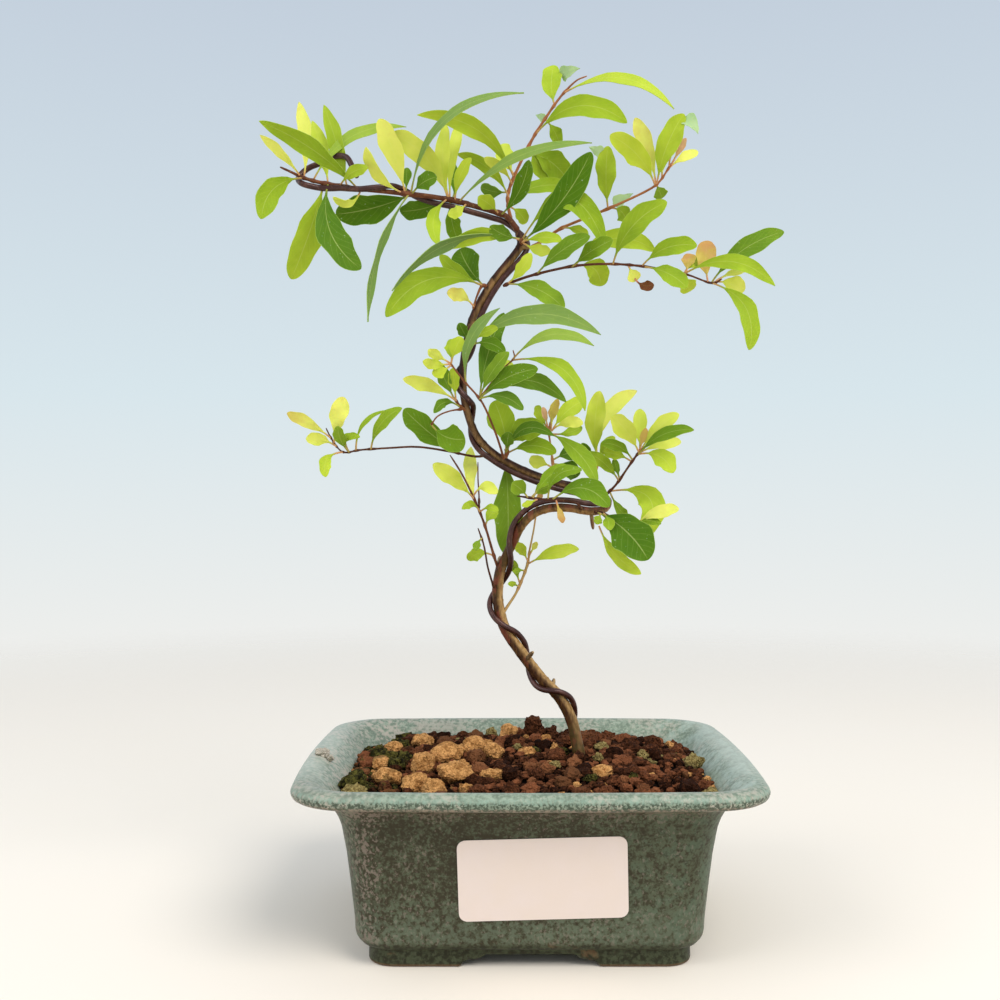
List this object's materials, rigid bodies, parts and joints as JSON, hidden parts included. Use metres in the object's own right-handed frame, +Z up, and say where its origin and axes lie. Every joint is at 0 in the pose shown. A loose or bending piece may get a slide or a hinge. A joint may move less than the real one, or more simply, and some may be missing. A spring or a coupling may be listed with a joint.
{
  "type": "potted pomegranate bonsai tree",
  "caption": "Young wired pomegranate bonsai with narrow leaves on thin stems, in granular soil in a glazed rectangular pot with a flared lip, foot ring and blank front label.",
  "frame": {"origin": "middle of the pot's footprint on the surface that it stands on", "axes": "+Z up the tree, +X along the pot's long side to the right as seen from the front, and the labelled front faces -Y"},
  "size_m": [0.173, 0.125, 0.2972],
  "materials": {
    "pot": "gloss",
    "drainage_mesh": "matt",
    "soil": "matt",
    "plant_label": "satin",
    "bark": "matt",
    "wire": "satin",
    "foliage": "satin"
  },
  "bodies": {
    "root": {"pot": "pot", "drainage_mesh": "drainage_mesh", "soil": "soil", "plant_label": "plant_label", "trunk": "bark", "training_wire": "wire", "stem_top_left": "foliage", "stem_apex": "foliage", "stem_upper_right": "foliage", "stem_right": "foliage", "tuft_bend": "foliage", "tuft_left_upper": "foliage", "tuft_middle": "foliage", "stem_middle": "foliage", "tuft_left_middle": "foliage", "stem_left": "foliage", "tuft_centre": "foliage", "stem_centre": "foliage", "stem_uprights": "foliage", "twig_horizontal": "foliage", "stem_right_cluster": "foliage", "stem_right_low": "foliage", "stem_left_low": "foliage", "stem_left_thin": "foliage", "shoot_low": "foliage"}
  },
  "joints": []
}
